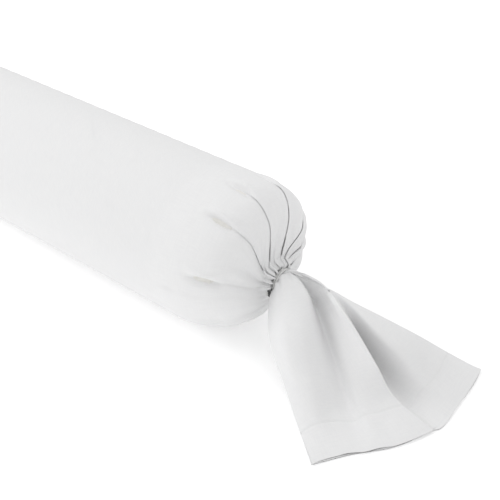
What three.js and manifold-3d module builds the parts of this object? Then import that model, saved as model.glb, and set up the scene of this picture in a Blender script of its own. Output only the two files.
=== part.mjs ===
// A bolster pillow in an open-ended cotton case, drawn in at both ends by an elastic cord so that the
// case's own ends flare out as tails, like a wrapped sweet. Millimetres, +Z up. The bolster lies along X
// with the underside of its case flat on Z = 0, and the origin is under the middle of the bolster.
import * as THREE from "three";
import { mergeVertices } from "three/addons/utils/BufferGeometryUtils.js";
import Module from "manifold-3d";

const wasm = await Module();
wasm.setup();

// Driving dimensions
const RADIUS = 100; // outside of the case, round its barrel
const SAG = 4; // how far the soft barrel flattens where it rests
const BARREL_HALF = 371; // middle of the bolster to where its end starts to round over
const DOME_DEPTH = 74; // from there to the flattest part of the end
const TIE_X = 458; // middle of the bolster to the middle of the elastic tie
const CLOTH = 1.2; // case cloth, drawn thicker than it is woven
const TICKING = 1.0;
const GAP = 0.4; // between one layer and the next
const CORE_RADIUS = 78;
const CORE_HALF = 345;
const NECK_RADIUS = 18; // the case's cloth where the tie holds it
const NECK_HALF = 6; // from the tie's middle to where the bunched neck ends
const NECK_BORE = 5; // the channel that gathering leaves in the middle
const TIE_CORD = 1.3; // radius of the elastic cord
const TIE_TURNS = 2;
const TIE_PITCH = 3;
const KNOT_ANGLE = (200 * Math.PI) / 180; // round the neck from its far side: low on the near side
const KNOT_HALF = [4.2, 2.8, 3];
const BUNCH_RADIUS = 16; // bunched cloth that the tail turns on
const TAIL_HEM = 50; // depth of the hem along the tail
const TAIL_LENGTH = 255; // from the tie to the hem's edge, along the cloth

const AXIS_Z = RADIUS - SAG;
const NECK_Z = AXIS_Z - 6; // the tail's weight draws the neck a little below the axis
const PIVOT_X = TIE_X + NECK_HALF + BUNCH_RADIUS + 0.5;
const ROUND = 36; // sides of the barrel and of everything nested in it
const ARC_STEPS = 7; // steps in each rounded end

const cloth = new THREE.MeshStandardMaterial({ color: 0xeeeeee, roughness: 0.85, metalness: 0 });
const lining = new THREE.MeshStandardMaterial({ color: 0xf2f0ea, roughness: 0.9, metalness: 0 });
const elastic = new THREE.MeshStandardMaterial({ color: 0xf4f4f2, roughness: 0.7, metalness: 0 });
const dark = new THREE.MeshStandardMaterial({ color: 0x141414, roughness: 0.7, metalness: 0 });
const wadding = new THREE.MeshStandardMaterial({ color: 0xfafafa, roughness: 1, metalness: 0 });
const foam = new THREE.MeshStandardMaterial({ color: 0xf1e9c9, roughness: 0.95, metalness: 0 });

// Booleans ------------------------------------------------------------------------------------------

function toSolid(geometry) {
  const bare = geometry.clone();
  for (const name of ["normal", "uv"]) bare.deleteAttribute(name);
  const merged = mergeVertices(bare, 1e-3);
  const triVerts = new Uint32Array(merged.index.array);
  const vertProperties = merged.attributes.position.array;
  return new wasm.Manifold(new wasm.Mesh({ numProp: 3, vertProperties, triVerts }));
}

function toGeometry(solid) {
  const made = solid.getMesh();
  const geometry = new THREE.BufferGeometry();
  geometry.setAttribute("position", new THREE.BufferAttribute(made.vertProperties, 3));
  geometry.setIndex(new THREE.BufferAttribute(made.triVerts, 1));
  geometry.computeVertexNormals();
  return geometry;
}

// The part of a solid that is above a height: soft layers flatten where the bolster rests.
function restingAt(solid, height) {
  const long = 4 * TIE_X;
  const above = new THREE.BoxGeometry(long, long, long).translate(0, 0, long / 2 + height);
  return solid.intersect(toSolid(above));
}

// Shapes --------------------------------------------------------------------------------------------

// A profile of [distance along X, radius] pairs turned about the bolster's axis.
function turned(profile) {
  const points = profile.map(([along, radius]) => new THREE.Vector2(radius, along));
  const geometry = new THREE.LatheGeometry(points, ROUND);
  return toSolid(geometry.rotateZ(-Math.PI / 2).translate(0, 0, AXIS_Z));
}

// Points of the rounded end, `inset` below the case's surface, from the barrel to a radius near the axis.
// The curve is a superellipse: full at the shoulder, then nearly flat across the end.
function endCurve(inset, innerRadius) {
  const radius = RADIUS - inset;
  const depth = DOME_DEPTH - inset;
  const last = Math.acos((innerRadius / radius) ** 1.4);
  return Array.from({ length: ARC_STEPS + 1 }, (_, i) => {
    const angle = (last * i) / ARC_STEPS;
    return [BARREL_HALF + depth * Math.sin(angle) ** (2 / 3.2), radius * Math.cos(angle) ** (1 / 1.4)];
  });
}

const mirrored = (profile) => profile.map(([along, radius]) => [-along, radius]).reverse();

function place(name, geometry, material) {
  const mesh = new THREE.Mesh(geometry, material);
  mesh.name = name;
  return mesh;
}

// A closed skin over rings of points that each run out along one layer of cloth and back along the other.
// Each end is closed by a strip between the two layers.
function lofted(rings) {
  const sides = rings[0].length;
  const quads = [];
  for (let r = 0; r + 1 < rings.length; r++) {
    for (let i = 0; i < sides; i++) {
      const [here, next] = [r * sides + i, r * sides + ((i + 1) % sides)];
      quads.push([here, here + sides, next + sides, next]);
    }
  }
  const last = (rings.length - 1) * sides;
  for (let i = 0; i < sides / 2; i++) {
    const strip = [i, i + 1, sides - i - 1, (sides - i) % sides];
    quads.push(strip);
    quads.push(strip.map((corner) => last + corner).reverse());
  }
  const faces = quads.flatMap(([a, b, c, d]) => [[a, b, c], [a, c, d]]);
  const real = faces.filter((corners) => new Set(corners).size === 3);
  return new THREE.BufferGeometry().setFromPoints(rings.flat()).setIndex(real.flat());
}

// The filled inner pillow ---------------------------------------------------------------------------

const waddingInset = CLOTH + TICKING + 2 * GAP;
const tickingInset = CLOTH + GAP;

function foamCore() {
  const core = new THREE.CylinderGeometry(CORE_RADIUS, CORE_RADIUS, 2 * CORE_HALF, ROUND);
  return place("foam_core", core.rotateZ(-Math.PI / 2).translate(0, 0, AXIS_Z), foam);
}

function waddingWrap() {
  const [inner, outer] = [CORE_RADIUS + GAP, RADIUS - waddingInset];
  const tube = turned([
    [-CORE_HALF, inner],
    [-CORE_HALF, outer],
    [CORE_HALF, outer],
    [CORE_HALF, inner],
    [-CORE_HALF, inner],
  ]);
  return place("wadding_wrap", toGeometry(restingAt(tube, waddingInset)), wadding);
}

// Loose wadding that fills one rounded end, over the core's flat face.
function endWadding(side) {
  const back = CORE_HALF + GAP;
  const outer = endCurve(waddingInset, 2);
  const face = outer.at(-1)[0];
  const pad = turned([[back, 0], [back, RADIUS - waddingInset], ...outer, [face, 0]]);
  return place(`${side}_end_wadding`, toGeometry(restingAt(pad, waddingInset)), wadding);
}

// The ticking is a tube with a round panel sewn into each end; the seam runs round the shoulder.
const SEAM_STEP = 3; // the step of the end curve where the panel meets the tube

function tickingTube() {
  const outer = endCurve(tickingInset, 0.1).slice(0, SEAM_STEP + 1);
  const inner = endCurve(tickingInset + TICKING, 0.1).slice(0, SEAM_STEP + 1);
  const skin = [...mirrored(outer), ...outer];
  const lined = [...mirrored(inner), ...inner].reverse();
  const tube = turned([...skin, ...lined, skin[0]]);
  const hollow = turned([
    [-BARREL_HALF, 0],
    [-BARREL_HALF, RADIUS - tickingInset - TICKING],
    [BARREL_HALF, RADIUS - tickingInset - TICKING],
    [BARREL_HALF, 0],
  ]);
  const flattened = restingAt(tube, tickingInset);
  const sole = restingAt(turned([
    [-BARREL_HALF, 0],
    [-BARREL_HALF, RADIUS - tickingInset],
    [BARREL_HALF, RADIUS - tickingInset],
    [BARREL_HALF, 0],
  ]), tickingInset).subtract(restingAt(hollow, tickingInset + TICKING));
  return place("ticking_tube", toGeometry(flattened.add(sole)), lining);
}

function tickingEnd(side) {
  const outer = endCurve(tickingInset, 0.1).slice(SEAM_STEP);
  const inner = endCurve(tickingInset + TICKING, 0.1).slice(SEAM_STEP);
  outer[0][0] += GAP;
  inner[0][0] += GAP;
  outer.at(-1)[1] = 0;
  inner.at(-1)[1] = 0;
  const panel = turned([...inner.reverse(), ...outer]);
  return place(`${side}_ticking_end`, toGeometry(restingAt(panel, tickingInset)), lining);
}

// The case ------------------------------------------------------------------------------------------

// The necks sit lower than the barrel's axis: whatever lies past the rounded ends moves down to them.
function droopingNecks(geometry) {
  const points = geometry.attributes.position;
  for (let i = 0; i < points.count; i++) {
    if (Math.abs(points.getX(i)) > BARREL_HALF + DOME_DEPTH) points.setZ(i, points.getZ(i) - AXIS_Z + NECK_Z);
  }
  return geometry;
}

// Barrel, rounded ends and gathered necks of the case: one tube of cloth, open down the middle of each neck.
function caseBody() {
  const neckEnd = TIE_X + NECK_HALF;
  const shoulder = [...endCurve(0, NECK_RADIUS + 6), [TIE_X - NECK_HALF, NECK_RADIUS], [neckEnd, NECK_RADIUS]];
  const inside = [...endCurve(CLOTH, NECK_BORE), [neckEnd + 1, NECK_BORE]];
  const outer = turned([[-neckEnd, 0], ...mirrored(shoulder), ...shoulder, [neckEnd, 0]]);
  const hollow = turned([[-neckEnd - 1, 0], ...mirrored(inside), ...inside, [neckEnd + 1, 0]]);
  const body = toGeometry(restingAt(outer, 0).subtract(restingAt(hollow, CLOTH)));
  return place("case_body", droopingNecks(body), cloth);
}

// An elastic cord wound round the neck, ending in its knot.
function tie(side) {
  const coil = NECK_RADIUS + GAP + TIE_CORD;
  const steps = 18 * TIE_TURNS;
  const route = Array.from({ length: steps + 1 }, (_, i) => {
    const angle = KNOT_ANGLE + (2 * Math.PI * TIE_TURNS * i) / steps;
    const along = TIE_X + TIE_PITCH * ((TIE_TURNS * i) / steps - TIE_TURNS / 2);
    return new THREE.Vector3(along, coil * Math.cos(angle), NECK_Z + coil * Math.sin(angle));
  });
  const section = new THREE.Shape();
  section.absarc(0, 0, TIE_CORD, 0, 2 * Math.PI);
  const extrudePath = new THREE.CatmullRomCurve3(route);
  const cord = new THREE.ExtrudeGeometry(section, { steps, curveSegments: 3, extrudePath });
  return place(`${side}_tie`, cord, elastic);
}

function tieKnot(side) {
  const reach = NECK_RADIUS + 2 * GAP + 2 * TIE_CORD + KNOT_HALF[2];
  const knot = new THREE.SphereGeometry(1, 12, 8).scale(...KNOT_HALF);
  knot.translate(TIE_X, reach * Math.cos(KNOT_ANGLE), NECK_Z + reach * Math.sin(KNOT_ANGLE));
  return place(`${side}_tie_knot`, knot, dark);
}

// The tails -----------------------------------------------------------------------------------------

// The bunched root of a tail, which the loose cloth turns on.
function tailBunch(side) {
  const ball = new THREE.SphereGeometry(BUNCH_RADIUS, 20, 12).translate(PIVOT_X, 0, NECK_Z);
  return place(`${side}_tail_bunch`, ball, cloth);
}

// Folds of the tail's upper layer, from its near edge to its far edge, in case radii from the tie:
// [distance out, distance across, height], from the bunch to the hem.
const FOLDS = [
  [[0.31, -0.12, 0.88], [0.36, -0.46, 0.64], [0.58, -0.76, 0.43], [1.0, -1.06, 0.22], [1.45, -1.32, 0.05]],
  [[0.31, -0.06, 1.02], [0.52, -0.34, 0.97], [0.9, -0.6, 0.68], [1.3, -0.82, 0.38], [1.7, -1.03, 0.1]],
  [[0.31, 0.0, 1.02], [0.56, -0.08, 0.93], [1.0, -0.22, 0.62], [1.48, -0.45, 0.3], [1.92, -0.72, 0.07]],
  [[0.31, 0.04, 1.02], [0.6, 0.1, 0.96], [1.1, 0.02, 0.7], [1.6, -0.22, 0.38], [2.04, -0.5, 0.1]],
  [[0.31, 0.08, 0.98], [0.6, 0.26, 0.82], [1.15, 0.26, 0.46], [1.7, 0.12, 0.16], [2.21, -0.1, 0.06]],
  [[0.31, 0.1, 0.94], [0.56, 0.38, 0.8], [1.15, 0.58, 0.5], [1.7, 0.64, 0.23], [2.24, 0.46, 0.06]],
  [[0.31, 0.13, 0.88], [0.36, 0.48, 0.72], [0.9, 0.66, 0.52], [1.5, 0.86, 0.27], [2.16, 1.06, 0.05]],
];
const ACROSS = 16; // points across each layer of the tail
const ALONG = 11; // rings along the tail
const HEM_SHARE = 1 - TAIL_HEM / TAIL_LENGTH;
const ROOT_APART = 26; // between the outsides of the two layers at the bunch
const MOUTH_APART = 5; // and at the hem

// The upper layer's line across the tail, at a share of the way from the bunch to the hem.
// Past the hem, where a cutting solid has to reach, the folds run straight on.
function upperLine(share) {
  const beyond = Math.max(0, share - 1) * (TAIL_LENGTH / RADIUS);
  const foldPoints = FOLDS.map((fold) => {
    const curve = new THREE.CatmullRomCurve3(fold.map((p) => new THREE.Vector3(...p)), false, "centripetal");
    return curve.getPoint(Math.min(1, share)).addScaledVector(curve.getTangent(1), beyond);
  });
  const across = new THREE.CatmullRomCurve3(foldPoints, false, "centripetal");
  const tie = new THREE.Vector3(TIE_X, 0, 0);
  return across.getPoints(ACROSS).map((p) => p.multiplyScalar(RADIUS).add(tie));
}

// The ring of points round both layers; `wall` thins it, for the hollow between the layers.
function tailRing(share, wall) {
  const apart = THREE.MathUtils.lerp(ROOT_APART, MOUTH_APART, Math.min(1, share * 1.3));
  const line = upperLine(share);
  const halves = line.map((p, i) => {
    const open = apart * Math.sqrt(Math.max(0, Math.sin((Math.PI * i) / ACROSS)));
    return Math.min(p.z, open) / 2;
  });
  const layer = (sign) => line.map((p, i) => {
    const half = Math.max(0.1, halves[i] - wall);
    return new THREE.Vector3(p.x, p.y, p.z - halves[i] + sign * (wall ? half : halves[i]));
  });
  const inset = wall ? 1 : 0;
  const upper = layer(1).slice(inset, ACROSS + 1 - inset);
  const lower = layer(-1).slice(inset + 1, ACROSS - inset);
  return [...upper, ...lower.reverse()];
}

function tailLoft(from, to, wall = 0) {
  const rings = Math.max(2, Math.round(ALONG * (to - from)));
  const shares = Array.from({ length: rings + 1 }, (_, i) => from + ((to - from) * i) / rings);
  return toSolid(lofted(shares.map((share) => tailRing(share, wall))));
}

const POCKET_SHARE = 0.3; // nearer the bunch than this, the folds fill the tail

function tail(side) {
  const cup = new THREE.SphereGeometry(BUNCH_RADIUS + 0.8, 20, 12).translate(PIVOT_X, 0, NECK_Z);
  const skirt = tailLoft(0, HEM_SHARE).subtract(toSolid(cup));
  const pocket = tailLoft(POCKET_SHARE, HEM_SHARE + 0.02, CLOTH);
  return place(`${side}_tail`, toGeometry(skirt.subtract(pocket)), cloth);
}

// The doubled band of cloth turned in and stitched round the tail's open mouth.
function tailHem(side) {
  const start = HEM_SHARE + GAP / TAIL_LENGTH;
  const band = tailLoft(start, 1).subtract(tailLoft(start - 0.02, 1.02, 1.5 * CLOTH));
  return place(`${side}_tail_hem`, toGeometry(band), cloth);
}

// Assembly ------------------------------------------------------------------------------------------

const bolster = new THREE.Group();
bolster.add(foamCore(), waddingWrap(), tickingTube(), caseBody());
for (const [side, turn] of [["right", 0], ["left", Math.PI]]) {
  const end = new THREE.Group();
  end.add(endWadding(side), tickingEnd(side), tie(side), tieKnot(side));
  end.add(tailBunch(side), tail(side), tailHem(side));
  end.rotation.z = turn;
  bolster.add(end);
}

export default bolster;
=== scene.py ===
"""A cotton bolster pillow, tied at both ends so that its case flares out in two hemmed tails."""
import math

import bpy
import numpy as np
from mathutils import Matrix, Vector


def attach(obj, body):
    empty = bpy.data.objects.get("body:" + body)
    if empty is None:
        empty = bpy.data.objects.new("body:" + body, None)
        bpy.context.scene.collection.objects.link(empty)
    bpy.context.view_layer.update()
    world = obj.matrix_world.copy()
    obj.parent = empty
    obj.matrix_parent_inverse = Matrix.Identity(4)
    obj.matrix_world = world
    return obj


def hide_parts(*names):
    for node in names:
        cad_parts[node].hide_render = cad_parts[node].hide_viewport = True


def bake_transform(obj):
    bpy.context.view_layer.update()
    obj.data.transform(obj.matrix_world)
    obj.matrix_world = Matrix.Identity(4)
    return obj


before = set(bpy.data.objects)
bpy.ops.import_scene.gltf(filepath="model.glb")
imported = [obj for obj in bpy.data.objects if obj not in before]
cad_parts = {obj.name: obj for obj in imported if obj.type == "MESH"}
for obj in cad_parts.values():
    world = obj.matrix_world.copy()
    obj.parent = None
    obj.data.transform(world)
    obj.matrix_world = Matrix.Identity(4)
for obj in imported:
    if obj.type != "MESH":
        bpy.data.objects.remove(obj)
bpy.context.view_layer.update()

MM = 0.001

# Sizes in millimetres. The cloth is thinner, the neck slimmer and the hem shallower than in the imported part.
RADIUS = 99.8
AXIS_Z = 97.7
BARREL_HALF = 371.0
TIE_X = 458.0
NECK_Z = 90.0
REST_Z = 0.6  # underside of the case on the floor
CLOTH = 0.7
HEM_CLOTH = 1.3
HEM_DEPTH = 45.0
COIL_RADIUS = 15.6  # middle of the cord, round the neck
CORD_RADIUS = 1.25
CORE_RADIUS = 78.0
CORE_HALF = 345.0

# Flat sizes in metres
CASE_ROUND = 0.63

# The camera
LENS = 63.0
CAMERA_AZIMUTH = 39.27
CAMERA_ELEVATION = 35.63
CAMERA_AT = (942.5, -650.9, 716.0)

# How finely each surface is made
COLUMNS = 276  # round the case
BARREL_ROWS = 30
END_ROWS = 74
LINER_COLUMNS = 96
TAIL_COLUMNS = 266
FINE_ROWS = 140  # along a tail, before it is cut to its pieces
NECK_ROWS = 16
TAIL_ROWS = 64
HEM_ROWS = 16


# Numbers -------------------------------------------------------------------------------------------

def smooth(low, high, value):
    """0 below low, 1 above high, and an even curve between."""
    t = np.clip((np.asarray(value, float) - low) / (high - low), 0, 1)
    return t * t * (3 - 2 * t)


def through(points, at, closed=False):
    """A smooth line through rows of points, at positions counted in points (centripetal Catmull-Rom)."""
    points = np.asarray(points, float)
    count = len(points)
    if closed:
        points = np.concatenate([points[-2:], points, points[:3]])
        at = np.asarray(at) + 2
    steps = np.linalg.norm(np.diff(points, axis=0), axis=-1).reshape(len(points) - 1, -1).mean(axis=1)
    knots = np.concatenate([[0], np.cumsum(np.sqrt(steps))])
    slopes = np.gradient(points, knots, axis=0)
    index = np.minimum(np.asarray(at).astype(int), count + 1 if closed else count - 2)
    shape = (-1,) + (1,) * (points.ndim - 1)
    t = (at - index).reshape(shape)
    span = (knots[index + 1] - knots[index]).reshape(shape)
    start, end = points[index], points[index + 1]
    rise = 3 * t**2 - 2 * t**3
    bow = span * (slopes[index] * (t - 2 * t**2 + t**3) + slopes[index + 1] * (t**3 - t**2))
    return start + (end - start) * rise + bow


def bell(value, width):
    """1 at 0, fading out evenly on both sides."""
    return np.exp(-((value / width) ** 2))


def uneven_waves(turn, count, sway, slow, phase=0.0):
    """Waves round a ring, some wider and some narrower: how many, and how far and how often they sway."""
    return np.sin(count * turn + sway * np.sin(slow * turn + phase))


def along_line(line):
    """How far along a line of points each of them is."""
    return np.concatenate([[0], np.cumsum(np.linalg.norm(np.diff(line, axis=0), axis=-1))])


def at_distances(line, distances):
    """Points at these distances along a line of points."""
    way = along_line(line)
    return np.stack([np.interp(distances, way, line[:, k]) for k in range(3)], axis=-1)


def evened(values, passes):
    """Values round a ring, each drawn towards its neighbours."""
    for _ in range(passes):
        values = (np.roll(values, 1) + 2 * values + np.roll(values, -1)) / 4
    return values


SHORTEST_STEP = 1e-6  # keeps the division safe, as the next one does
SHORTEST_NORMAL = 1e-9


def heading(before, after):
    """Which way a line runs at a point between two steps, which may differ in length."""
    lengths = [np.linalg.norm(step, axis=-1, keepdims=True) for step in (before, after)]
    one, other = np.maximum(lengths, SHORTEST_STEP)
    return before * other / one + after * one / other


def grid_normals(grid):
    """Unit normals of a grid of points whose columns close round into a ring."""
    round_it = heading(grid - np.roll(grid, 1, axis=1), np.roll(grid, -1, axis=1) - grid)
    steps = np.diff(grid, axis=0)
    along = heading(np.concatenate([steps[:1], steps]), np.concatenate([steps, steps[-1:]]))
    normal = np.cross(along, round_it)
    return normal / np.maximum(np.linalg.norm(normal, axis=2, keepdims=True), SHORTEST_NORMAL)


def turned_about(grid):
    """The same points at the bolster's other end: half a turn about the upright axis."""
    return grid * np.array([-1.0, -1.0, 1.0])


ENDS = (("right", np.array), ("left", turned_about))


class Piece:
    """A made object, its material slot, the CAD nodes it stands for, and how it moves."""

    def __init__(self, item, slot, nodes=(), body="bolster", blend=None):
        self.item, self.slot, self.nodes, self.body, self.blend = item, slot, nodes, body, blend


# Meshes --------------------------------------------------------------------------------------------

def new_object(name, points, faces, normals=None, cloth_uv=None):
    mesh = bpy.data.meshes.new(name)
    mesh.from_pydata((np.asarray(points) * MM).tolist(), [], faces)
    mesh.validate()
    mesh.polygons.foreach_set("use_smooth", [True] * len(mesh.polygons))
    if cloth_uv is not None:
        layer = mesh.uv_layers.new(name="cloth")
        corners = np.zeros(len(mesh.loops), int)
        mesh.loops.foreach_get("vertex_index", corners)
        layer.data.foreach_set("uv", np.asarray(cloth_uv, np.float32)[corners].ravel())
    if normals is not None:
        mesh.normals_split_custom_set_from_vertices(np.asarray(normals).tolist())
    piece = bpy.data.objects.new(name, mesh)
    bpy.context.scene.collection.objects.link(piece)
    return piece


def ring_quads(rows, columns, start=0, flip=False):
    """Faces between the rings of a grid, numbered row by row from start."""
    row, column = np.meshgrid(np.arange(rows - 1), np.arange(columns), indexing="ij")
    here = start + row * columns + column
    beside = start + row * columns + (column + 1) % columns
    quads = np.stack([here, here + columns, beside + columns, beside], axis=-1).reshape(-1, 4)
    return (quads[:, ::-1] if flip else quads).tolist()


def cloth_shell(name, grid, thickness, normals=None, starts_at=0.0):
    """A ring-shaped grid as cloth of a real thickness, closed round its two open edges."""
    rows, columns = grid.shape[:2]
    normals = grid_normals(grid) if normals is None else normals
    inside = grid - normals * thickness
    count = rows * columns
    last = (rows - 1) * columns
    faces = ring_quads(rows, columns) + ring_quads(rows, columns, count, flip=True)
    for start, flip in ((0, True), (last, False)):
        for column in range(columns):
            a, b = start + column, start + (column + 1) % columns
            quad = [a, a + count, b + count, b]
            faces.append(quad[::-1] if flip else quad)
    steps = np.linalg.norm(grid - np.roll(grid, 1, axis=1), axis=2)
    round_it = CASE_ROUND * np.cumsum(steps, axis=1) / steps.sum(axis=1, keepdims=True)
    middle = (starts_at + along_line(grid[:, columns // 4])) * MM
    uv = np.stack([round_it, np.broadcast_to(middle[:, None], round_it.shape)], axis=-1).reshape(-1, 2)
    points = np.concatenate([grid.reshape(-1, 3), inside.reshape(-1, 3)])
    both = np.concatenate([normals.reshape(-1, 3), -normals.reshape(-1, 3)])
    return new_object(name, points, faces, both, np.concatenate([uv, uv]))


def closed_body(name, grid):
    """A solid skin over rings of points, its first and last ring each closed about their middle."""
    rows, columns = grid.shape[:2]
    points = np.concatenate([grid.reshape(-1, 3), [grid[0].mean(axis=0)], [grid[-1].mean(axis=0)]])
    faces = ring_quads(rows, columns)
    first, last, start = rows * columns, rows * columns + 1, (rows - 1) * columns
    for column in range(columns):
        beside = (column + 1) % columns
        faces.append([first, column, beside])
        faces.append([last, start + beside, start + column])
    return new_object(name, points, faces)


def ring_body(name, grid):
    """A solid skin over a grid that closes round both ways."""
    rows, columns = grid.shape[:2]
    faces = ring_quads(rows, columns)
    for column in range(columns):
        beside = (column + 1) % columns
        faces.append([(rows - 1) * columns + column, column, beside, (rows - 1) * columns + beside])
    return new_object(name, grid.reshape(-1, 3), faces)


OFF_EVERY_CORD = (0.31, 0.52, -0.79)  # a direction that no cord starts in


def cord_rings(path, radius, sides, strands=1, strand_depth=0.0, twists=0.0):
    """Rings of points round a path. A cord of several strands has a lobe for each, which turns along it."""
    path = np.asarray(path, float)
    ahead = np.gradient(path, axis=0)
    ahead /= np.linalg.norm(ahead, axis=1, keepdims=True)
    side = np.zeros_like(path)
    side[0] = np.cross(ahead[0], OFF_EVERY_CORD)
    for k in range(len(path)):  # carried along the path, so that the cord doesn't twist by itself
        carried = side[max(k - 1, 0)]
        carried = carried - ahead[k] * (carried @ ahead[k])
        side[k] = carried / np.linalg.norm(carried)
    over = np.cross(side, ahead)
    turn = np.linspace(0, 2 * np.pi, sides, endpoint=False)[None, :]
    twist = np.linspace(0, 2 * np.pi * twists, len(path))[:, None]
    reach = radius * (1 + strand_depth * np.cos(strands * (turn - twist)))
    across = np.cos(turn)[..., None] * side[:, None] + np.sin(turn)[..., None] * over[:, None]
    return path[:, None] + reach[..., None] * across


STITCH_LENGTH = 2.1
STITCH_RADIUS = 0.26
STITCH_STEP = 2.9
STITCH_SIDES = 6
STITCH_SHAPE = ((-0.5, 0.25), (-0.36, 0.8), (0.0, 1.0), (0.36, 0.8), (0.5, 0.25))  # along it, and how thick


def stitches(name, line, outward):
    """A row of thread stitches, half sunk in the cloth, along a line of points on it."""
    way = along_line(line)
    places = np.arange(STITCH_STEP / 2, way[-1], STITCH_STEP)
    points, faces = [], []
    turn = np.linspace(0, 2 * np.pi, STITCH_SIDES, endpoint=False)
    for place in places:
        near = [at_distances(line, [place + step])[0] for step in (-0.5, 0.0, 0.5)]
        ahead = near[2] - near[0]
        ahead /= np.linalg.norm(ahead)
        normal = at_distances_of(outward, way, place)
        across = np.cross(normal, ahead)
        start = len(points)
        for along, size in STITCH_SHAPE:
            middle = near[1] + ahead * along * STITCH_LENGTH
            for angle in turn:
                ring = np.cos(angle) * across + np.sin(angle) * normal
                points.append(middle + ring * size * STITCH_RADIUS)
        last = start + (len(STITCH_SHAPE) - 1) * STITCH_SIDES
        faces += ring_quads(len(STITCH_SHAPE), STITCH_SIDES, start, flip=True)
        faces.append([start + k for k in range(STITCH_SIDES)])
        faces.append([last + k for k in range(STITCH_SIDES)][::-1])
    return new_object(name, points, faces)


def at_distances_of(values, way, place):
    """Unit vectors given along a way, at a place on it."""
    vector = np.array([np.interp(place, way, values[:, k]) for k in range(3)])
    return vector / np.linalg.norm(vector)


# The case's rounded ends ---------------------------------------------------------------------------

# Each pleat that gathers the case into its neck: its bearing round the end in degrees (0 is the far
# side, 90 the top, 180 the near side), how far it leans over at the neck, how far past the barrel it
# starts, how deep it gets, and how deep the dent is that it starts from.
PLEATS = (
    (120, 17, 36, 3.2, 7.5),
    (91, 24, 27, 3.4, 5.5),
    (60, 12, 25, 3.6, 4.0),
    (24, 30, 54, 3.6, 4.0),
    (2, 28, 72, 3.2, 3.5),
    (-10, 14, 90, 3.0, 3.3),
    (-36, 8, 52, 3.0, 3.3),
    (-62, 16, 60, 2.8, 3.1),
    (-84, 22, 46, 3.2, 3.5),
    (-112, 28, 56, 3.0, 3.3),
    (-142, 34, 30, 3.2, 6.5),
    (165, 10, 40, 3.4, 7.5),
    (143, 14, 100, 1.8, 2.0),
    (106, 24, 106, 1.6, 1.8),
    (76, 22, 104, 1.8, 2.0),
)
FINE_BEARINGS = 7201  # where the columns' spacing is worked out
LEAN_RADIUS = 68.0  # pleats lean over inside this radius
LEAN_WIDTH = 42.0  # and lean fully this much further in
LEAN_CURVE = 1.5
COLUMN_CROWDS = ((9.0, 1.4), (2.0, 5.0))  # beside a pleat: how many more columns, within how many degrees

# A pleat's fold lies over the cloth on its one side, which is tucked in under it. Distances are across it.
PLEAT_GROWS = 30.0  # how far along it reaches its full depth
PLEAT_AT_NECK = 0.55  # share of its depth that is left beside the neck
NECK_RADII = (18.0, 60.0)  # radii between which it loses the rest
CLOSE_RADII = (26.0, 62.0)  # pleats are pressed together inside these radii
TUCK_DEPTH = (0.16, 0.3)  # share of a pleat's depth on the open end, and the share added at the neck
TUCK_WIDTH = 7.0
FOLD_RISE = (0.25, 0.25)  # how far the fold stands out on the open end, and how much more at the neck
FOLD_WIDTH = 6.0
FOLD_EDGE = 0.3  # half the width of the step at its edge
SLIP_ACROSS = (-3.0, -0.2)  # the strip that slips sideways under the fold
LAID_OVER = 1.6  # how far the fold slips over it
DENT_ALONG = (-26.0, 0.0, 5.0, 30.0)  # from a pleat's start, where its dent begins, is full, fades and ends
DENT_HOLLOW = (-2.0, 4.5)  # the hollow's middle and its width
DENT_BANK = (6.0, 5.0)  # the bank beside it, likewise
BANK_RISE = 0.55  # share of the hollow's depth
PUFF = 2.0  # how far the cloth puffs out between the pleats
PUFF_BESIDE = (3.0, 16.0)  # how far from a pleat it starts and is full
PUFF_ALONG = (34.0, 66.0)
PUFF_RADII = (24.0, 60.0)

# The gathers beside the neck: waves as uneven_waves takes them, the second set being finer and lower.
NECK_WAVES = (23, 1.6, 4, 1)
FINE_NECK_WAVES = (41, 2, 3)
FINE_HEIGHT = 0.4  # share of the height of the first set
NECK_WAVE_HEIGHT = 1.5
WAVE_RADII = (20.0, 36.0)  # they fade out between these radii
TIE_RADII = (15.0, 19.0)  # and are pressed flatter here
PRESSED = 0.3

# The end is tighter where it faces up and away, and rounder low on the near side.
TIGHT_TOWARDS = 54.0  # bearing in degrees
TIGHT_END = (376.0, 74.5, 3.8, 2.6)  # start of the curve, its depth, and its two exponents
ROUND_END = (355.0, 95.0, 2.15, 2.35)
NECK_PROFILE = (  # the gathered cloth bulges over the tie, and turns back under it
    (449.5, 25.5),
    (453.0, 23.6),
    (456.0, 21.8),
    (458.2, 19.8),
    (457.4, 18.0),
    (454.0, 16.4),
    (454.6, 14.2),
    (460.0, 12.9),
)
NECK_JOIN = 3.0  # between the end's curve and the neck's bulge
DOME_POINTS = 90
DOME_INNER = 32.0  # the curve's smallest radius
ON_BARREL = 30.0  # an end's rows begin this far back on the barrel
ROW_CROWDING = 1.35  # above 1, so that rows stand closer together at the neck
SINK_RADII = (18.0, 80.0)  # the end's middle sinks to the neck's height between these radii
INNERMOST = 12.0


def end_profile(start, depth, along_power, across_power):
    """Distances along X with their radii, from the barrel to inside the neck, and each one's way along."""
    angle = np.linspace(0, 1, DOME_POINTS) * math.acos((DOME_INNER / RADIUS) ** (across_power / 2))
    along = start + depth * np.sin(angle) ** (2 / along_power)
    radius = RADIUS * np.cos(angle) ** (2 / across_power)
    dome = np.stack([along, radius], axis=1)
    dome = dome[dome[:, 0] < NECK_PROFILE[0][0] - NECK_JOIN]
    points = np.concatenate([[[BARREL_HALF - ON_BARREL, RADIUS]], dome, NECK_PROFILE])
    way = along_line(points)
    closer = way[-1] * (1 - np.linspace(1, 0, END_ROWS) ** ROW_CROWDING)
    profile = np.stack([np.interp(closer, way, points[:, k]) for k in (0, 1)], axis=1)
    for _ in range(2):
        profile[1:-1] = (profile[:-2] + 2 * profile[1:-1] + profile[2:]) / 4
    return profile, closer - ON_BARREL


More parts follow.
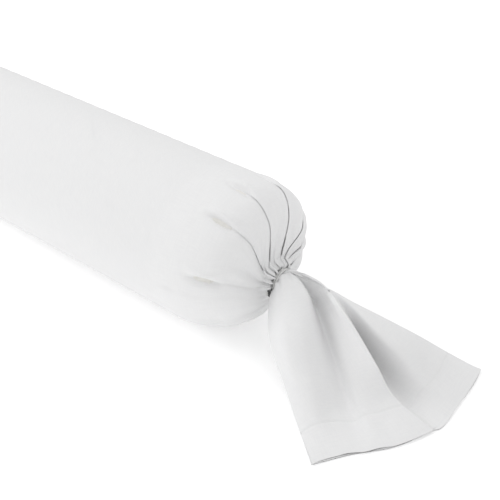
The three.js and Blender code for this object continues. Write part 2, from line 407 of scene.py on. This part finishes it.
def pleat_bearings():
    """Bearings of the case's columns, in degrees, closer together beside each pleat."""
    fine = np.linspace(-180, 180, FINE_BEARINGS)
    density = np.ones_like(fine)
    for bearing, _, _, _, _ in PLEATS:
        off = (fine - bearing + 180) % 360 - 180
        for more, within in COLUMN_CROWDS:
            density += more * bell(off, within)
    share = np.concatenate([[0], np.cumsum((density[1:] + density[:-1]) / 2)])
    return np.interp(np.arange(COLUMNS, 0, -1) / COLUMNS * share[-1], share, fine)


def pleats(bearing, way, radius):
    """How far an end's cloth is drawn in, and how far it is laid over sideways, by its pleats."""
    inward = np.zeros(np.broadcast_shapes(bearing.shape, way.shape, radius.shape))
    sideways = np.zeros_like(inward)
    nearest = np.full_like(inward, RADIUS)
    closer = 1 - smooth(*CLOSE_RADII, radius)
    depth_left = PLEAT_AT_NECK + (1 - PLEAT_AT_NECK) * smooth(*NECK_RADII, radius)
    tuck = TUCK_DEPTH[0] + TUCK_DEPTH[1] * closer
    rise = FOLD_RISE[0] + FOLD_RISE[1] * closer
    for at, _, start, deepest, dent in PLEATS:
        off = ((at - bearing + 180) % 360 - 180) * math.pi / 180 * radius
        nearest = np.minimum(nearest, np.abs(off))
        grown = smooth(start, start + PLEAT_GROWS, way) * depth_left
        edge = smooth(-FOLD_EDGE, FOLD_EDGE, off)
        under = smooth(-TUCK_WIDTH, -FOLD_EDGE, off) * (1 - edge)
        over = np.where(off > 0, bell(off, FOLD_WIDTH), edge)
        inward += grown * (tuck * deepest * under - rise * over)
        slips_under = smooth(*SLIP_ACROSS, off) * (1 - edge)
        sideways -= grown * (slips_under - LAID_OVER * over * edge)
        inward += dent * dented(off, way - start)
    puffed = smooth(*PUFF_BESIDE, nearest) * smooth(*PUFF_ALONG, way) * smooth(*PUFF_RADII, radius)
    return inward - PUFF * puffed, sideways


def dented(off, past):
    """The dent that a pleat starts from, 1 at its deepest, at distances beside it and past its start."""
    begins, full, fades, ends = DENT_ALONG
    along = smooth(begins, full, past) * (1 - smooth(fades, ends, past))
    (hollow, hollow_width), (bank, bank_width) = DENT_HOLLOW, DENT_BANK
    return along * (bell(off - hollow, hollow_width) - BANK_RISE * bell(off - bank, bank_width))


def lean(bearings, radius):
    """How far round the pleats lean over towards the neck, in degrees."""
    at, leaning, _, _, _ = np.array(sorted(PLEATS)).T
    gathered = np.clip((LEAN_RADIUS - radius) / LEAN_WIDTH, 0, 1) ** LEAN_CURVE
    return gathered * np.interp(bearings, at, leaning, period=360)


def gathers(bearing, radius):
    """The fine folds of the cloth close to the neck, flatter under the tie."""
    turn = np.radians(bearing)
    ripple = uneven_waves(turn, *NECK_WAVES) + FINE_HEIGHT * uneven_waves(turn, *FINE_NECK_WAVES)
    height = NECK_WAVE_HEIGHT * (PRESSED + (1 - PRESSED) * smooth(*TIE_RADII, radius))
    return height * ripple * (1 - smooth(*WAVE_RADII, radius))


def end_shape(bearings):
    """An end before it is pleated, as rows: distances along X, radii and ways along, a column a bearing."""
    tight, way = end_profile(*TIGHT_END)
    rounded, rounded_way = end_profile(*ROUND_END)
    share = 0.5 + 0.5 * np.cos(np.radians(bearings[None, :] - TIGHT_TOWARDS))
    pairs = ((tight[:, 0], rounded[:, 0]), (tight[:, 1], rounded[:, 1]), (way, rounded_way))
    return [share * one[:, None] + (1 - share) * other[:, None] for one, other in pairs]


def about_axis(along, radius, turn):
    """Points at a distance along the bolster, a radius and a turn in radians, sinking towards the neck."""
    drop = (AXIS_Z - NECK_Z) * (1 - smooth(*SINK_RADII, radius))
    return np.stack([along, radius * np.cos(turn), AXIS_Z - drop + radius * np.sin(turn)], axis=-1)


def end_grid(bearings):
    """One end of the case as rows of points round it, at the bolster's right."""
    along, radius, way = end_shape(bearings)
    inward, sideways = pleats(bearings[None, :], way, radius)
    inward = inward + gathers(bearings[None, :], radius)
    slope = np.stack([np.gradient(along, axis=0), np.gradient(radius, axis=0)])
    slope /= np.linalg.norm(slope, axis=0)
    turn = np.radians(bearings + lean(bearings, radius)) + sideways / np.maximum(radius, INNERMOST)
    return about_axis(along + inward * slope[1], radius - inward * slope[0], turn)


FLOOR_SOFTNESS = 2.5
CLEAR_OF_FLOOR = 12  # softnesses above the floor, where it has no more effect


def rest_on_floor(grid, lowest=REST_Z):
    """The soft underside flattens where it would sink below the floor."""
    above = (grid[..., 2] - lowest) / FLOOR_SOFTNESS
    pressed = np.log1p(np.exp(np.minimum(above, CLEAR_OF_FLOOR)))
    grid[..., 2] = lowest + FLOOR_SOFTNESS * np.where(above > CLEAR_OF_FLOOR, above, pressed)
    return grid


def barrel_between(left, right):
    """Rings from the left end's first ring to the right end's, whose columns stand at other bearings."""
    def bearing(ring):
        return np.unwrap(np.arctan2(ring[:, 2] - AXIS_Z, ring[:, 1]))

    start, end = bearing(left), bearing(right)
    share = np.linspace(0, 1, BARREL_ROWS)[1:-1, None]
    turn = (1 - share) * start + share * end
    x = (1 - share) * left[:, 0] + share * right[:, 0]
    return np.stack([x, RADIUS * np.cos(turn), AXIS_Z + RADIUS * np.sin(turn)], axis=-1)


def case_grid():
    """The whole case from neck to neck."""
    right = end_grid(pleat_bearings())
    left = turned_about(right)[::-1, ::-1]
    lowest = [int(np.argmin(ring[:, 2] + np.abs(ring[:, 1]))) for ring in (left[-1], right[0])]
    left = np.roll(left, lowest[1] - lowest[0], axis=1)
    return rest_on_floor(np.concatenate([left, barrel_between(left[-1], right[0]), right]))


# The inner pillow ----------------------------------------------------------------------------------

TICKING_INSET = 4.6  # below the unpleated case: room for the pleats
WADDING_INSET = 6.0
SEAM_RADIUS = 84.0  # where a ticking end panel is sewn to the tube
PIPING_RADIUS = 1.2
PIPING_SIDES = 8
FLAT_RADIUS = 44.0  # the pillow's end runs nearly flat across inside this radius
FLAT_ROWS = 12
FLAT_BULGE = 2.5
FLAT_INNERMOST = 0.02  # share of that radius where its rows stop
SKIN_GAP = 0.6  # between the wadding and the core
ROLL_GAP = 0.8  # between the rolled wadding and the ticking, over its inset
ROLL_LUMPS = (0.6, 24)  # height of the wadding's soft lumps, and their scale
PAD_LUMPS = (0.5, 20)
PAD_BACK = (0.05, 0.4, 0.8, 0.95)  # rings across a pad's back, as shares of its rim
WADDING_ROWS = 70


def liner_end(inset):
    """An end of the inner pillow as rows of points, from its barrel to its middle."""
    bearings = np.linspace(180, -180, LINER_COLUMNS, endpoint=False)
    along, radius, _ = end_shape(bearings)
    rows = radius.mean(axis=1) > FLAT_RADIUS
    along, radius = along[rows], radius[rows]
    slope = np.stack([np.gradient(along, axis=0), np.gradient(radius, axis=0)])
    slope /= np.linalg.norm(slope, axis=0)
    along, radius = along + inset * slope[1], radius - inset * slope[0]
    share = np.linspace(1, FLAT_INNERMOST, FLAT_ROWS)[1:, None]
    middle = along[-1:] + FLAT_BULGE * (1 - share**2)
    along, radius = np.concatenate([along, middle]), np.concatenate([radius, share * radius[-1:]])
    return about_axis(along, radius, np.radians(bearings))


def both_ends(end):
    """Rows from the left end to the right one, as one skin."""
    other = np.roll(turned_about(end)[::-1, ::-1], LINER_COLUMNS // 2 + 1, axis=1)
    return rest_on_floor(np.concatenate([other, end]), REST_Z + TICKING_INSET)


def soften(grid, height, scale):
    """Slow rises and hollows over a padded surface, the same on every run."""
    x, y, z = (grid[..., k] / scale for k in range(3))
    rise = np.sin(1.3 * x + 0.7 * np.sin(y)) * np.cos(1.1 * y - 0.4 * z) + 0.5 * np.sin(2.3 * z + 1.7 * x)
    return grid + grid_normals(grid) * (height * rise)[..., None]


def closed_panel(name, grid):
    """A round panel of cloth with its thickness, from its rim to its middle."""
    inside = grid - grid_normals(grid) * CLOTH
    return closed_body(name, np.concatenate([inside[::-1], grid]))


def make_ticking():
    """The inner pillow's cotton cover: a tube, with a round panel sewn into each end with a corded seam."""
    end = liner_end(TICKING_INSET)
    spread = np.hypot(end[..., 1], end[..., 2] - AXIS_Z).mean(axis=1)
    seam = int(np.argmax(spread < SEAM_RADIUS))
    tube = cloth_shell("ticking_cover", both_ends(end[: seam + 1]), CLOTH)
    made = [Piece(tube, "ticking", ("ticking_tube",))]
    for side, move in ENDS:
        panel = rest_on_floor(end[seam:].copy(), REST_Z + TICKING_INSET)
        flap = closed_panel(f"{side}_ticking_panel", move(panel))
        made.append(Piece(flap, "ticking", (f"{side}_ticking_end",)))
        rim = move(panel[0])
        rim = np.concatenate([rim, rim[:1]])
        rings = cord_rings(rim, PIPING_RADIUS, PIPING_SIDES)
        made.append(Piece(closed_body(f"{side}_ticking_piping", rings), "ticking"))
    return made


def make_wadding():
    """Wadding wrapped round the core, and a loose pad of it filling each end."""
    reach = np.linspace(-CORE_HALF, CORE_HALF, WADDING_ROWS)[:, None]
    turn = np.linspace(2 * np.pi, 0, LINER_COLUMNS, endpoint=False)[None, :]

    def roll(radius):
        across, up = radius * np.cos(turn) + 0 * reach, AXIS_Z + radius * np.sin(turn) + 0 * reach
        return np.stack([reach + 0 * turn, across, up], axis=-1)

    outer = soften(roll(RADIUS - WADDING_INSET - ROLL_GAP), *ROLL_LUMPS)
    outer = rest_on_floor(outer, REST_Z + WADDING_INSET)
    wrap = ring_body("wadding_roll", np.concatenate([outer, roll(CORE_RADIUS + SKIN_GAP)[::-1]]))
    made = [Piece(wrap, "wadding", ("wadding_wrap",))]
    end = liner_end(WADDING_INSET)
    start = int(np.argmax(end[:, :, 0].mean(axis=1) > CORE_HALF + 1))
    rim = end[start : start + 1]
    centre = rim * np.array([1, 0, 0]) + np.array([0, 0, AXIS_Z])
    back = np.concatenate([centre + share * (rim - centre) for share in PAD_BACK])
    for side, move in ENDS:
        pad = soften(np.concatenate([back, end[start:]]), *PAD_LUMPS)
        pad = closed_body(f"{side}_wadding_pad", move(rest_on_floor(pad, REST_Z + WADDING_INSET)))
        made.append(Piece(pad, "wadding", (f"{side}_end_wadding",)))
    return made


# The ties ------------------------------------------------------------------------------------------

TIE_TURNS = 2
TIE_PITCH = 2.7
KNOT_BEARING = math.radians(198)
KNOT_OUT = 22.0  # middle of the knot, from the middle of the neck
KNOT_ASIDE = -2.0  # towards the bolster, from the middle of the tie
KNOT_SIZE = 1.25  # half the width of the knot's hollow
CORD_ENDS = ((-1, 0.16), (1, 0.5))  # which way each leaves the knot, and its reach round the neck in radians
COIL_POINTS = 520
KNOT_POINTS = 90
CORD_END_POINTS = 24
STRANDS = 3
STRAND_LENGTH = 5.0  # one turn of the cord's strands
STRAND_DEPTH = 0.14
CORD_SIDES = 12


def cord_piece(name, path):
    """A cord of three strands laid round each other."""
    twists = along_line(path)[-1] / STRAND_LENGTH
    return closed_body(name, cord_rings(path, CORD_RADIUS, CORD_SIDES, STRANDS, STRAND_DEPTH, twists))


def round_neck(out, bearing, radius):
    """Points beside the neck, at a distance out from the tie's middle, a bearing and a radius."""
    across = np.stack([np.cos(bearing) * radius, NECK_Z + np.sin(bearing) * radius], axis=-1)
    along = np.full(np.shape(across)[:-1], TIE_X) + out
    return np.concatenate([along[..., None], across], axis=-1)


def knot_path():
    """A trefoil knot, flat against the neck."""
    loop = np.linspace(0, 2 * np.pi, KNOT_POINTS)
    return round_neck(
        KNOT_ASIDE + KNOT_SIZE * (np.sin(loop) + 2 * np.sin(2 * loop)),
        KNOT_BEARING + KNOT_SIZE / KNOT_OUT * (np.cos(loop) - 2 * np.cos(2 * loop)),
        KNOT_OUT - 0.9 * KNOT_SIZE * np.sin(3 * loop),
    )


def cord_end(way, further):
    """A short end of cord that leaves the knot: which way it goes, and how far round the neck."""
    reach = np.linspace(0, 1, CORD_END_POINTS)
    return round_neck(
        KNOT_ASIDE + way * (1.0 + 2.2 * reach),
        KNOT_BEARING + 0.1 * way + further * reach,
        KNOT_OUT + 1.5 * np.sin(2.6 * reach) + 0.5 * reach,
    )


def make_ties():
    """A cord wound round each neck, its knot, and the knot's two short ends."""
    share = np.linspace(0, 1, COIL_POINTS)
    bearing = KNOT_BEARING + 2 * np.pi * TIE_TURNS * share
    coil = round_neck(TIE_PITCH * TIE_TURNS * (share - 0.5), bearing, COIL_RADIUS)
    ends = [cord_end(way, further) for way, further in CORD_ENDS]
    made = []
    for side, move in ENDS:
        made.append(Piece(cord_piece(f"{side}_tie_cord", move(coil)), "elastic", (f"{side}_tie",)))
        # The knot takes the near-black paint: painted shade for the hollow it sits in.
        made.append(Piece(cord_piece(f"{side}_knot", move(knot_path())), "knot", (f"{side}_tie_knot",)))
        for number, end in enumerate(ends, 1):
            made.append(Piece(cord_piece(f"{side}_cord_end_{number}", move(end)), "elastic"))
    return made


# The tails -----------------------------------------------------------------------------------------

# Folds of a tail, in order round it, each with points (out from the tie, across, up) in millimetres, from
# beside the tie to the hem's edge. The first UPPER_FOLDS are the upper layer, from near edge to far edge.
FOLD_LINES = (
    # near edge
    ((2, -20, 86), (3, -28, 66), (24, -53, 48), (57, -73, 26), (101, -102, 6), (147, -137, 2)),
    ((4, -15, 99), (26, -40, 94), (51, -63, 73), (78, -78, 40), (113, -100, 11), (152, -127, 3.4)),
    # front lobe
    ((6, -3, 107), (34, -25, 105), (63, -52, 80), (89, -70, 44), (124, -93, 13), (161, -112, 3.4)),
    ((17, -1, 108), (48, -14, 102), (67, -31, 82), (88, -42, 50), (124, -65, 13), (169, -100, 3.4)),
    # first valley
    ((18, 5, 100), (37, 6, 83), (66, -7, 61), (96, -24, 36), (134, -48, 10), (182, -86, 3)),
    ((31, 10, 100), (60, 4, 90), (90, -13, 71), (114, -27, 45), (146, -44, 17), (191, -73, 3.6)),
    # second lobe
    ((44, 11, 105), (78, -6, 100), (106, -17, 80), (130, -26, 54), (160, -34, 18), (203, -58, 3.4)),
    # its edge
    ((57, 6, 106), (91, -7, 98), (120, -15, 81), (148, -21, 58), (169, -16, 24), (222, -14, 3.4)),
    ((57, 7, 104), (89, -2, 93), (117, -10, 76), (145, -17, 53), (166, -13, 20), (221, -13, 3)),
    # under its edge
    ((55, 9, 103), (84, 0, 88), (106, 1, 56), (132, 0, 30), (164, -8, 11), (220, -14, 2)),
    # second valley
    ((54, 11, 102), (84, 9, 83), (102, 16, 43), (130, 14, 16), (168, 0, 5), (226, -7, 2)),
    ((53, 13, 100), (88, 13, 91), (126, 11, 72), (160, 18, 45), (191, 24, 17), (225, 38, 3)),
    # far ridge
    ((51, 15, 97), (84, 20, 91), (126, 27, 74), (163, 43, 48), (188, 62, 18), (222, 77, 3.4)),
    # far edge
    ((47, 18, 92), (71, 25, 84), (107, 45, 66), (139, 71, 40), (169, 97, 12), (218, 104, 3)),
    # lower layer
    ((42, 15, 80), (66, 22, 62), (104, 42, 38), (138, 62, 16), (172, 76, 4), (221, 86, 0.9)),
    ((34, 6, 70), (60, 8, 46), (100, 18, 20), (136, 30, 5), (172, 38, 1), (224, 42, 0.9)),
    ((26, -4, 69), (50, -8, 48), (90, -12, 20), (130, -14, 5), (172, -14, 1), (223, 0, 0.9)),
    ((18, -14, 68), (38, -24, 52), (72, -44, 25), (110, -56, 6), (150, -60, 1), (203, -58, 0.9)),
    ((8, -20, 72), (20, -34, 57), (48, -60, 32), (86, -80, 10), (124, -95, 2), (171, -99, 0.9)),
)
UPPER_FOLDS = 14
ROOT_RINGS = ((-3.0, 12.9), (0.5, 13.2), (3.9, 14.0), (4.6, 16.0))  # out from the tie, and radius

HEM_SEWN = (1.3, 2.5, 3.7)  # rows at the hem's stitches, from its inner edge; the middle one is drawn in
SEWN_ROW = NECK_ROWS + TAIL_ROWS + 2
SEWN_DEPTH = 0.5
PLAIN_HEM = 6.0  # from the hem's inner edge to its first plain row
SEAM_EVENED = 20

# The root's gathers, as uneven_waves takes them, and where along the tail they rise and fade
ROOT_WAVES = (24, 1.2, 3)
FINE_ROOT_WAVES = (39, 2, 2)
ROOT_WAVE_HEIGHT = 0.9
ROOT_RISE = (0.0, 8.0)
ROOT_FADE = (12.0, 34.0)
SLACK_HEIGHT = 0.35  # slow unevenness of the loose cloth
SLACK_WAVE = 23.0
SLACK_DRIFT = 61.0
SLACK_RISE = (30.0, 90.0)

# The hidden lower layer is folded up, which takes up the cloth that the upper one doesn't.
GATHERS = 14
GATHER_HEIGHT = 12.0
GATHERS_BEGIN = (0.0, 0.14)  # shares of the way across the layer
GATHERS_END = (0.68, 0.95)
GATHERS_RISE = (25.0, 60.0)  # along the tail
GATHERS_LOWER = ((0.55, 95.0, 150.0), (0.95, 150.0, 215.0))  # by what share they get lower, from and to

# A tail bends where it leaves its tie: first on its bunch, then on its lift hinge.
BEND_WAY = np.array([0.8, -0.15, -0.58])
BUNCH_BEND = (3.0, 30.0)  # from and to, along that way from the middle of the neck
SEAM_AT = 32.0  # where the root's folds end and the loose cloth begins
HEM_AT = 190.0  # where the hem's weave begins, counted from the tie
LIFT_BEND = (34.0, 92.0)


def bend_points(move, reaches):
    """Where a bend starts and ends, in metres."""
    neck = np.array([TIE_X, 0, NECK_Z])
    return [tuple(move(neck + BEND_WAY * reach) * MM) for reach in reaches]


def tail_folds():
    """A tail before it is cut to its pieces, as fine rows of points round it."""
    lines = np.array(FOLD_LINES, float)
    bearings = np.pi - 2 * np.pi * np.arange(len(lines)) / len(lines)
    rings = [round_neck(out, bearings, radius) - (TIE_X, 0, 0) for out, radius in ROOT_RINGS]
    stations = np.concatenate([np.stack(rings, axis=1), lines], axis=1)
    at = np.linspace(0, stations.shape[1] - 1, FINE_ROWS)
    folds = np.stack([through(line, at) for line in stations])
    round_it = np.arange(TAIL_COLUMNS) * len(lines) / TAIL_COLUMNS
    grid = np.stack([through(ring, round_it, closed=True) for ring in folds.transpose(1, 0, 2)])
    grid[..., 0] += TIE_X
    return grid


def tail_rows(grid):
    """The same tail with its rows at even distances from the tie, the seam of its root and the hem."""
    neck = np.array([TIE_X, 0, NECK_Z])
    ways = [along_line(grid[:, column]) for column in range(TAIL_COLUMNS)]
    reach = np.maximum.accumulate((grid - neck) @ BEND_WAY, axis=0)
    seam = np.array([np.interp(SEAM_AT, reach[:, column], way) for column, way in enumerate(ways)])
    seam = evened(seam, SEAM_EVENED)
    columns = []
    for column, way in enumerate(ways):
        hem = way[-1] - HEM_DEPTH
        root = np.linspace(0, seam[column], NECK_ROWS + 1)
        cloth = np.linspace(seam[column], hem, TAIL_ROWS + 1)[1:]
        band = np.concatenate([hem + np.array(HEM_SEWN), np.linspace(hem + PLAIN_HEM, way[-1], HEM_ROWS)])
        columns.append(at_distances(grid[:, column], np.concatenate([root, cloth, band])))
    return np.stack(columns, axis=1)


def tail_grid():
    """A tail from inside its tie to its hem's edge, as rows of points round it, at the bolster's right."""
    grid = tail_rows(tail_folds())
    turn = 2 * np.pi * np.arange(TAIL_COLUMNS) / TAIL_COLUMNS
    way = along_line(grid.mean(axis=1))[:, None]
    gathered = smooth(*ROOT_RISE, way) * (1 - smooth(*ROOT_FADE, way))
    ripple = uneven_waves(turn, *ROOT_WAVES) + FINE_HEIGHT * uneven_waves(turn, *FINE_ROOT_WAVES)
    slack = np.sin(way / SLACK_WAVE + 2 * np.sin(turn * 3)) * np.sin(turn * 7 + way / SLACK_DRIFT)
    rise = ROOT_WAVE_HEIGHT * gathered * ripple + SLACK_HEIGHT * slack * smooth(*SLACK_RISE, way)
    rise[SEWN_ROW] -= SEWN_DEPTH
    rise -= lower_gathers(way)
    return grid + grid_normals(grid) * rise[..., None]


def lower_gathers(way):
    """How far the lower layer is folded up into the tail, less and less towards the hem."""
    share = np.arange(TAIL_COLUMNS) / TAIL_COLUMNS * len(FOLD_LINES)
    across = np.clip((share - UPPER_FOLDS + 1) / (len(FOLD_LINES) - UPPER_FOLDS + 1), 0, 1)
    inside = smooth(*GATHERS_BEGIN, across) * (1 - smooth(*GATHERS_END, across))
    height = GATHER_HEIGHT * inside * smooth(*GATHERS_RISE, way)
    for share_lost, begins, ends in GATHERS_LOWER:
        height = height * (1 - share_lost * smooth(begins, ends, way))
    return height * (1 - np.cos(2 * np.pi * GATHERS * across)) / 2


def tail_pieces(side, move, grid):
    """One tail: its gathered root, its loose cloth, the hem round its mouth, and the hem's stitches."""
    points = move(grid)
    normals = grid_normals(points)
    hem_row = NECK_ROWS + TAIL_ROWS
    root, cloth, band = slice(0, NECK_ROWS + 1), slice(NECK_ROWS, hem_row + 1), slice(hem_row, None)
    folds = cloth_shell(f"{side}_neck_folds", points[root], CLOTH, normals[root])
    tail = cloth_shell(f"{side}_tail_cloth", points[cloth], CLOTH, normals[cloth], SEAM_AT)
    hem = cloth_shell(f"{side}_hem", points[band], HEM_CLOTH, normals[band], HEM_AT)
    line = np.concatenate([points[SEWN_ROW], points[SEWN_ROW, :1]])
    outward = np.concatenate([normals[SEWN_ROW - 1], normals[SEWN_ROW - 1, :1]])
    thread = stitches(f"{side}_hem_stitches", line, outward)
    bunch, flare = f"{side}_bunch", f"{side}_flare"
    root_bend = ("bolster", bunch, *bend_points(move, BUNCH_BEND))
    lift_bend = (bunch, flare, *bend_points(move, LIFT_BEND))
    return [
        Piece(folds, "case_cloth", (f"{side}_tail_bunch",), blend=root_bend),
        Piece(tail, "case_cloth", (f"{side}_tail",), blend=lift_bend),
        Piece(hem, "case_cloth", (f"{side}_tail_hem",), body=flare),
        Piece(thread, "case_cloth", body=flare),
    ]


def make_tails():
    """The pieces of both tails."""
    grid = tail_grid()
    return [piece for side, move in ENDS for piece in tail_pieces(side, move, grid)]


# Materials -----------------------------------------------------------------------------------------

class Paint:
    """A material with one Principled shader, and shorthand for adding nodes to it."""

    def __init__(self, name, roughness, sheen=0.0):
        self.material = bpy.data.materials.new(name)
        self.material.use_nodes = True
        self.nodes = self.material.node_tree.nodes
        self.shader = self.nodes["Principled BSDF"]
        self.shader.inputs["Roughness"].default_value = roughness
        self.shader.inputs["Sheen Weight"].default_value = sheen
        self.shader.inputs["Specular IOR Level"].default_value = 0.25
        self.height = None

    def link(self, output, target):
        self.material.node_tree.links.new(output, target)

    def add(self, kind, **settings):
        node = self.nodes.new(kind)
        for name, value in settings.items():
            setattr(node, name, value)
        return node

    def math(self, operation, first, second):
        node = self.add("ShaderNodeMath", operation=operation)
        for socket, value in zip(node.inputs, (first, second)):
            if isinstance(value, (int, float)):
                socket.default_value = value
            else:
                self.link(value, socket)
        return node.outputs[0]

    def noise(self, place, scale, detail=3.0, stretch=(1, 1, 1)):
        mapping = self.add("ShaderNodeMapping")
        mapping.inputs["Scale"].default_value = stretch
        self.link(place, mapping.inputs["Vector"])
        noise = self.add("ShaderNodeTexNoise")
        noise.inputs["Scale"].default_value = scale
        noise.inputs["Detail"].default_value = detail
        self.link(mapping.outputs[0], noise.inputs["Vector"])
        return noise.outputs["Fac"]

    def colour(self, factor, low, high, dark, light):
        ramp = self.add("ShaderNodeValToRGB")
        for stop, place, shade in zip(ramp.color_ramp.elements, (low, high), (dark, light)):
            stop.position = place
            stop.color = (*shade, 1)
        self.link(factor, ramp.inputs["Fac"])
        self.link(ramp.outputs["Color"], self.shader.inputs["Base Color"])

    def bump(self, height, distance, strength=1.0):
        """Bumps add up: each new one rides on the last."""
        node = self.add("ShaderNodeBump")
        node.inputs["Strength"].default_value = strength
        node.inputs["Distance"].default_value = distance
        self.link(height, node.inputs["Height"])
        if self.height is not None:
            self.link(self.height, node.inputs["Normal"])
        self.height = node.outputs["Normal"]
        self.link(self.height, self.shader.inputs["Normal"])


WEAVE_PITCH = 0.00042  # metres between threads
TICKING_PITCH = 0.0006


def woven(paint, place, pitch, depth):
    """Plain weave: threads over and under each other both ways."""
    parts = paint.add("ShaderNodeSeparateXYZ")
    paint.link(place, parts.inputs[0])
    waves = [
        paint.math("SINE", paint.math("MULTIPLY", parts.outputs[k], math.pi / pitch), 0)
        for k in (0, 1)
    ]
    paint.bump(paint.math("MULTIPLY", *waves), depth)


def cotton():
    """Crisp white percale: fine plain weave with slightly uneven threads."""
    paint = Paint("white_percale", 0.82, sheen=0.12)
    cloth = paint.add("ShaderNodeUVMap", uv_map="cloth").outputs[0]
    place = paint.add("ShaderNodeTexCoord").outputs["Object"]
    threads = [paint.noise(cloth, 60, stretch=stretch) for stretch in ((1, 9, 1), (9, 1, 1))]
    shade = paint.math("ADD", *threads)
    paint.colour(paint.math("MULTIPLY", shade, 0.5), 0.35, 0.65, (0.83, 0.83, 0.835), (0.86, 0.86, 0.86))
    paint.bump(paint.noise(place, 28), 0.0012, 0.35)
    paint.bump(paint.noise(cloth, 300, stretch=(1, 14, 1)), 0.00006)
    paint.bump(paint.noise(cloth, 300, stretch=(14, 1, 1)), 0.00006)
    woven(paint, cloth, WEAVE_PITCH, 0.00004)
    return paint.material


def ticking():
    """Dense unbleached cotton."""
    paint = Paint("ticking", 0.88, sheen=0.1)
    place = paint.add("ShaderNodeTexCoord").outputs["Object"]
    paint.colour(paint.noise(place, 150), 0.35, 0.65, (0.78, 0.77, 0.73), (0.84, 0.83, 0.8))
    paint.bump(paint.noise(place, 500, stretch=(1, 8, 8)), 0.0001)
    woven(paint, place, TICKING_PITCH, 0.00008)
    return paint.material


def wound_thread(name, dark, light):
    """Fine threads wound round each strand of a cord."""
    paint = Paint(name, 0.7, sheen=0.1)
    place = paint.add("ShaderNodeTexCoord").outputs["Object"]
    paint.colour(paint.noise(place, 900), 0.3, 0.7, dark, light)
    paint.bump(paint.noise(place, 2600, stretch=(1, 3, 1)), 0.00012)
    return paint.material


def fluff():
    """Loose white polyester wadding."""
    paint = Paint("wadding", 1.0, sheen=0.4)
    place = paint.add("ShaderNodeTexCoord").outputs["Object"]
    paint.colour(paint.noise(place, 40, 8), 0.3, 0.7, (0.84, 0.84, 0.85), (0.93, 0.93, 0.93))
    paint.bump(paint.noise(place, 60, 10), 0.004)
    paint.bump(paint.noise(place, 700, 6, stretch=(1, 4, 1)), 0.0006)
    return paint.material


def foam():
    """Open-celled foam, cream."""
    paint = Paint("foam", 0.95)
    place = paint.add("ShaderNodeTexCoord").outputs["Object"]
    cells = paint.add("ShaderNodeTexVoronoi")
    cells.inputs["Scale"].default_value = 700
    paint.link(place, cells.inputs["Vector"])
    paint.colour(cells.outputs["Distance"], 0.1, 0.7, (0.7, 0.64, 0.44), (0.88, 0.83, 0.63))
    paint.bump(cells.outputs["Distance"], 0.0006)
    return paint.material


# Studio --------------------------------------------------------------------------------------------

WORLD_STRENGTH = 0.72
LAMPS = (  # name, power, size, place
    ("key", 27.0, 2.0, (-1.7, -1.6, 2.4)),
    ("overhead", 12.0, 2.5, (0.5, 0.7, 2.5)),
)
FLOOR_GLOW = 0.24
FLOOR_HALF = 12.0


def set_camera():
    camera = bpy.data.objects.new("camera", bpy.data.cameras.new("camera"))
    bpy.context.scene.collection.objects.link(camera)
    bpy.context.scene.camera = camera
    camera.data.lens = LENS
    camera.data.sensor_width = 36
    camera.data.clip_end = 30
    azimuth, elevation = math.radians(CAMERA_AZIMUTH), math.radians(CAMERA_ELEVATION)
    level = math.cos(elevation)
    back = Vector((math.sin(azimuth) * level, -math.cos(azimuth) * level, math.sin(elevation)))
    camera.location = Vector(CAMERA_AT) * MM
    camera.rotation_euler = back.to_track_quat("Z", "Y").to_euler()


def set_light():
    """A bright room all round, one large soft lamp from the near side, and one overhead."""
    scene = bpy.context.scene
    scene.view_settings.view_transform = "Standard"
    scene.world = bpy.data.worlds.new("studio")
    scene.world.use_nodes = True
    sky = scene.world.node_tree.nodes["Background"]
    sky.inputs["Color"].default_value = (1, 1, 1, 1)
    sky.inputs["Strength"].default_value = WORLD_STRENGTH
    for name, power, size, place in LAMPS:
        lamp = bpy.data.lights.new(name, "AREA")
        lamp.energy = power
        lamp.size = size
        item = bpy.data.objects.new(name, lamp)
        scene.collection.objects.link(item)
        item.location = place
        item.rotation_euler = Vector(place).to_track_quat("Z", "Y").to_euler()


def set_floor():
    """A plain white floor, lit a little from within as a studio light table is."""
    mesh = bpy.data.meshes.new("floor")
    corners = [(-1, -1, 0), (1, -1, 0), (1, 1, 0), (-1, 1, 0)]
    mesh.from_pydata([tuple(FLOOR_HALF * n for n in corner) for corner in corners], [], [(0, 1, 2, 3)])
    floor = bpy.data.objects.new("floor", mesh)
    bpy.context.scene.collection.objects.link(floor)
    paint = Paint("floor", 0.9)
    paint.shader.inputs["Base Color"].default_value = (0.95, 0.95, 0.95, 1)
    paint.shader.inputs["Emission Color"].default_value = (1, 1, 1, 1)
    paint.shader.inputs["Emission Strength"].default_value = FLOOR_GLOW
    mesh.materials.append(paint.material)


# Assembly ------------------------------------------------------------------------------------------

def join_to_frame(piece, paints):
    piece.item.data.materials.append(paints[piece.slot])
    if piece.blend:
        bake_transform(piece.item)
    else:
        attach(piece.item, piece.body)
    if piece.nodes:
        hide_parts(*piece.nodes)


set_camera()
set_light()
set_floor()

paints = {
    "case_cloth": cotton(),
    "ticking": ticking(),
    "elastic": wound_thread("white_elastic", (0.66, 0.66, 0.65), (0.8, 0.8, 0.79)),
    # The knot's thread is painted near black: painted shade, standing for the deep shadow in the hollow where
    # the knot sits between the folds.
    "knot": wound_thread("knot_painted_shade", (0.05, 0.05, 0.052), (0.1, 0.1, 0.1)),
    "wadding": fluff(),
    "foam": foam(),
}
case = cloth_shell("case", case_grid(), CLOTH)
made = [Piece(case, "case_cloth", ("case_body",))]
for make in (make_ticking, make_wadding, make_ties, make_tails):
    made += make()
for piece in made:
    join_to_frame(piece, paints)
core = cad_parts["foam_core"]
core.data.materials.clear()
core.data.materials.append(paints["foam"])
